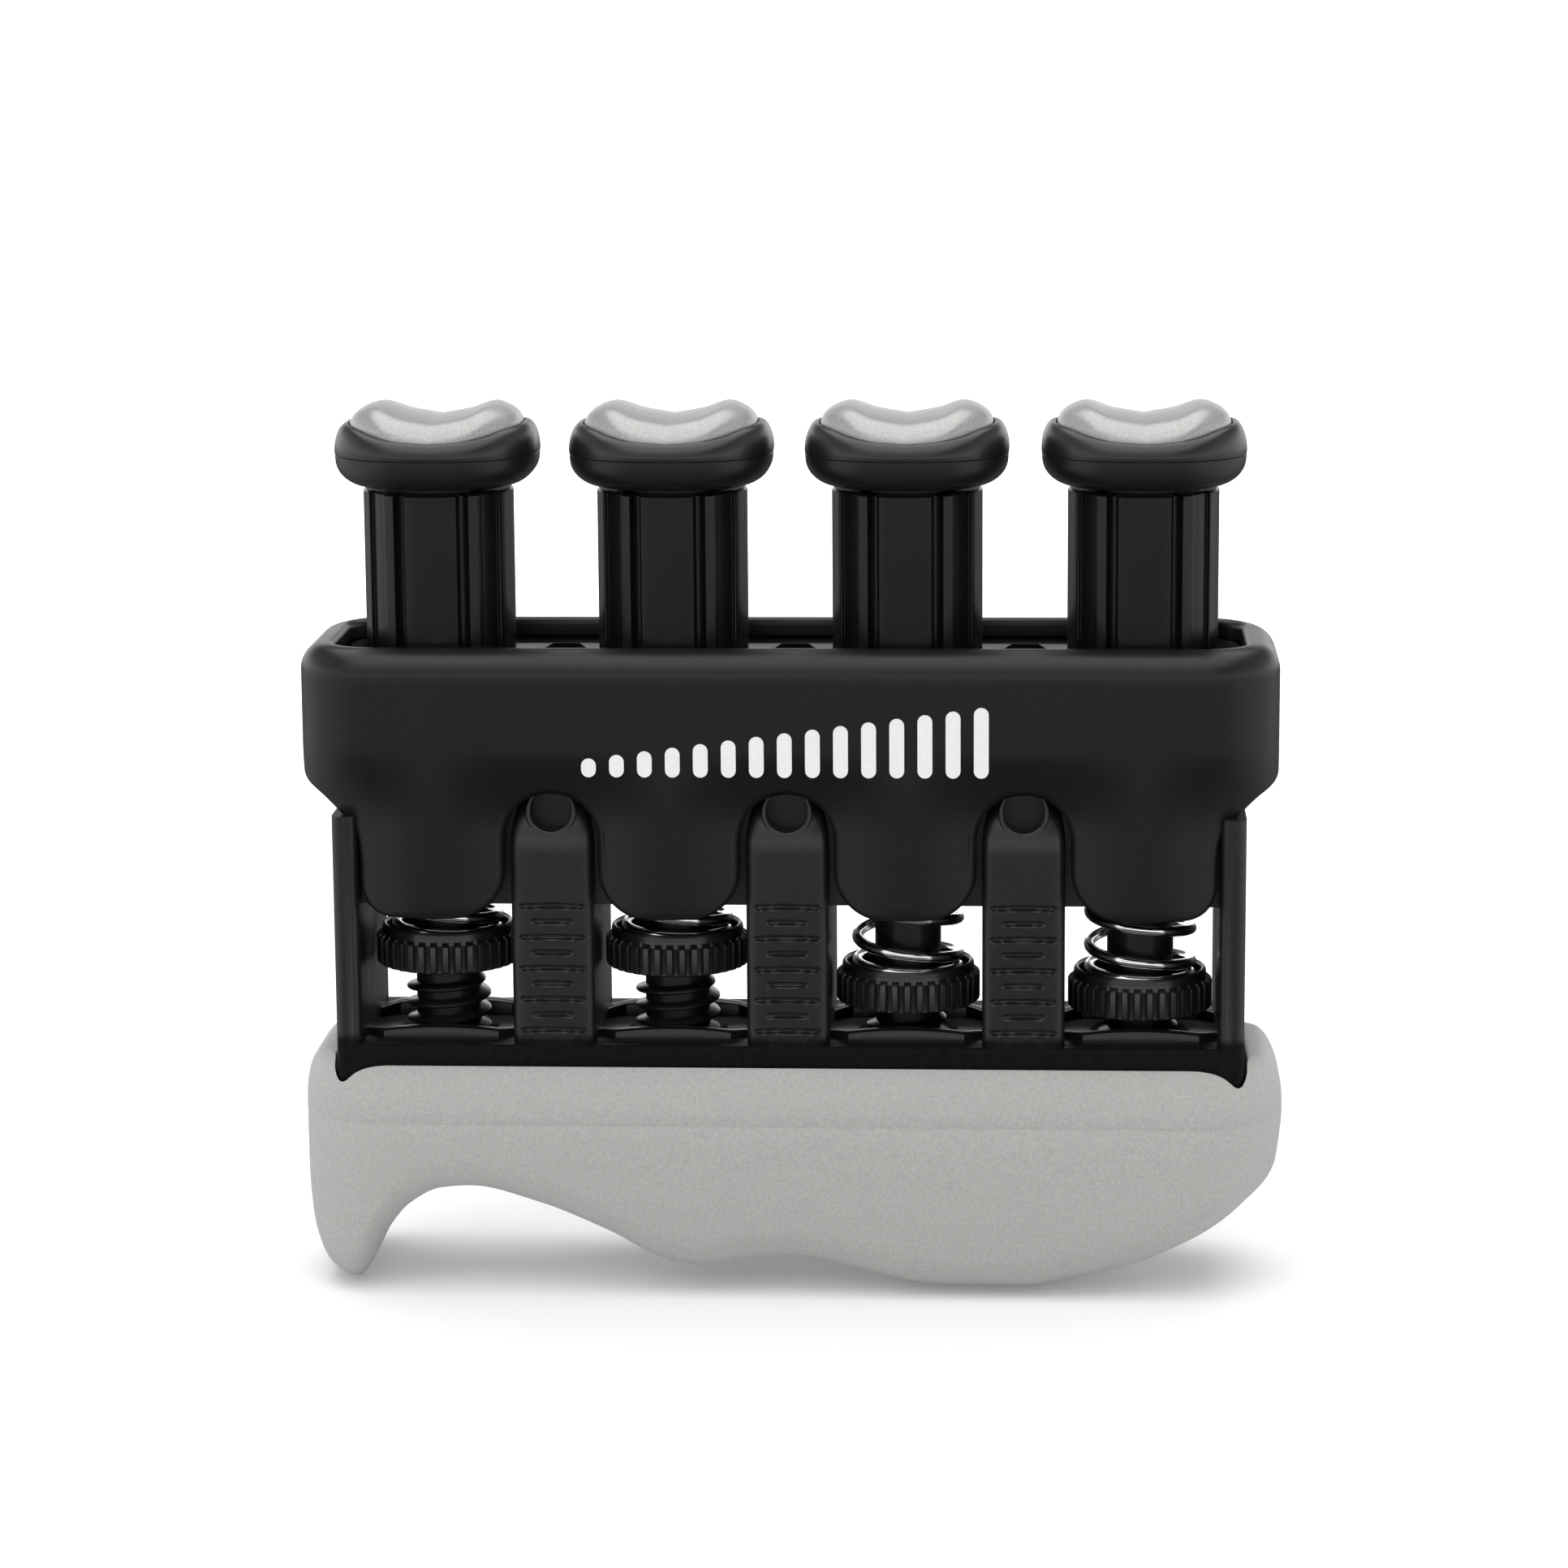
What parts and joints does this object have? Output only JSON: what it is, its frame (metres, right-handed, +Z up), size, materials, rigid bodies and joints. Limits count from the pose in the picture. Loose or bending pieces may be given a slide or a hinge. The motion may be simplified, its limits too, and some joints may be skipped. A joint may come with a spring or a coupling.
{
  "type": "finger exerciser",
  "caption": "Slim hand exerciser: sprung finger buttons in a row over a windowed frame with thumbwheel-adjustable coil springs and a moulded palm grip.",
  "frame": {"origin": "on the floor under the middle of the object's bounding box, where the grip's belly and toe rest", "axes": "+X along the row of buttons, -Y towards the front face, +Z up out of the finger pads"},
  "size_m": [0.0844, 0.0214, 0.0761],
  "materials": {
    "black_satin_plastic": "satin moulded black",
    "black_frame_plastic": "semi-gloss moulded black",
    "black_gloss_plastic": "gloss moulded black",
    "dark_grey_plastic": "satin moulded charcoal",
    "grey_soft_touch": "soft-touch matt mid grey",
    "silver_grey_pad": "satin silver grey",
    "dark_spring_steel": "polished dark spring steel"
  },
  "bodies": {
    "base": {"housing": "black_satin_plastic", "frame": "black_frame_plastic", "palm_grip": "grey_soft_touch"},
    "button_1": {"plunger_1": "black_gloss_plastic", "button_cap_1": "black_satin_plastic", "finger_pad_1": "silver_grey_pad"},
    "coil_1": {"spring_1": "dark_spring_steel"},
    "wheel_1": {"adjuster_1": "dark_grey_plastic"},
    "button_2": {"plunger_2": "black_gloss_plastic", "button_cap_2": "black_satin_plastic", "finger_pad_2": "silver_grey_pad"},
    "coil_2": {"spring_2": "dark_spring_steel"},
    "wheel_2": {"adjuster_2": "dark_grey_plastic"},
    "button_3": {"plunger_3": "black_gloss_plastic", "button_cap_3": "black_satin_plastic", "finger_pad_3": "silver_grey_pad"},
    "coil_3": {"spring_3": "dark_spring_steel"},
    "wheel_3": {"adjuster_3": "dark_grey_plastic"},
    "button_4": {"plunger_4": "black_gloss_plastic", "button_cap_4": "black_satin_plastic", "finger_pad_4": "silver_grey_pad"},
    "coil_4": {"spring_4": "dark_spring_steel"},
    "wheel_4": {"adjuster_4": "dark_grey_plastic"}
  },
  "joints": [
    {"name": "press_1", "type": "slide", "parent": "base", "child": "button_1", "axis": [0, 0, -1], "range_m": [0, 0.012], "stiffness_N_per_m": 650, "springref_m": -0.002, "deforming": ["spring_1"]},
    {"name": "lift_1", "type": "slide", "parent": "base", "child": "coil_1", "axis": [0, 0, 1], "range_m": [-0.0041, 0.0019]},
    {"name": "turn_1", "type": "hinge", "parent": "coil_1", "child": "wheel_1", "pos_m": [-0.03, 0, 0.0274], "axis": [0, 0, 1], "range_deg": [-1041, 483]},
    {"name": "press_2", "type": "slide", "parent": "base", "child": "button_2", "axis": [0, 0, -1], "range_m": [0, 0.012], "stiffness_N_per_m": 650, "springref_m": -0.002, "deforming": ["spring_2"]},
    {"name": "lift_2", "type": "slide", "parent": "base", "child": "coil_2", "axis": [0, 0, 1], "range_m": [-0.004, 0.002]},
    {"name": "turn_2", "type": "hinge", "parent": "coil_2", "child": "wheel_2", "pos_m": [-0.01, 0, 0.0273], "axis": [0, 0, 1], "range_deg": [-1016, 509]},
    {"name": "press_3", "type": "slide", "parent": "base", "child": "button_3", "axis": [0, 0, -1], "range_m": [0, 0.012], "stiffness_N_per_m": 650, "springref_m": -0.002, "deforming": ["spring_3"]},
    {"name": "lift_3", "type": "slide", "parent": "base", "child": "coil_3", "axis": [0, 0, 1], "range_m": [-0.0009, 0.0051]},
    {"name": "turn_3", "type": "hinge", "parent": "coil_3", "child": "wheel_3", "pos_m": [0.01, 0, 0.0242], "axis": [0, 0, 1], "range_deg": [-230, 1294]},
    {"name": "press_4", "type": "slide", "parent": "base", "child": "button_4", "axis": [0, 0, -1], "range_m": [0, 0.012], "stiffness_N_per_m": 650, "springref_m": -0.002, "deforming": ["spring_4"]},
    {"name": "lift_4", "type": "slide", "parent": "base", "child": "coil_4", "axis": [0, 0, 1], "range_m": [-0.0004, 0.0056]},
    {"name": "turn_4", "type": "hinge", "parent": "coil_4", "child": "wheel_4", "pos_m": [0.03, 0, 0.0237], "axis": [0, 0, 1], "range_deg": [-103, 1421]}
  ],
  "couplings": [
    {"joint": "turn_1", "follows": "lift_1", "rad_per_m": 4424.8},
    {"joint": "turn_2", "follows": "lift_2", "rad_per_m": 4424.8},
    {"joint": "turn_3", "follows": "lift_3", "rad_per_m": 4424.8},
    {"joint": "turn_4", "follows": "lift_4", "rad_per_m": 4424.8}
  ]
}
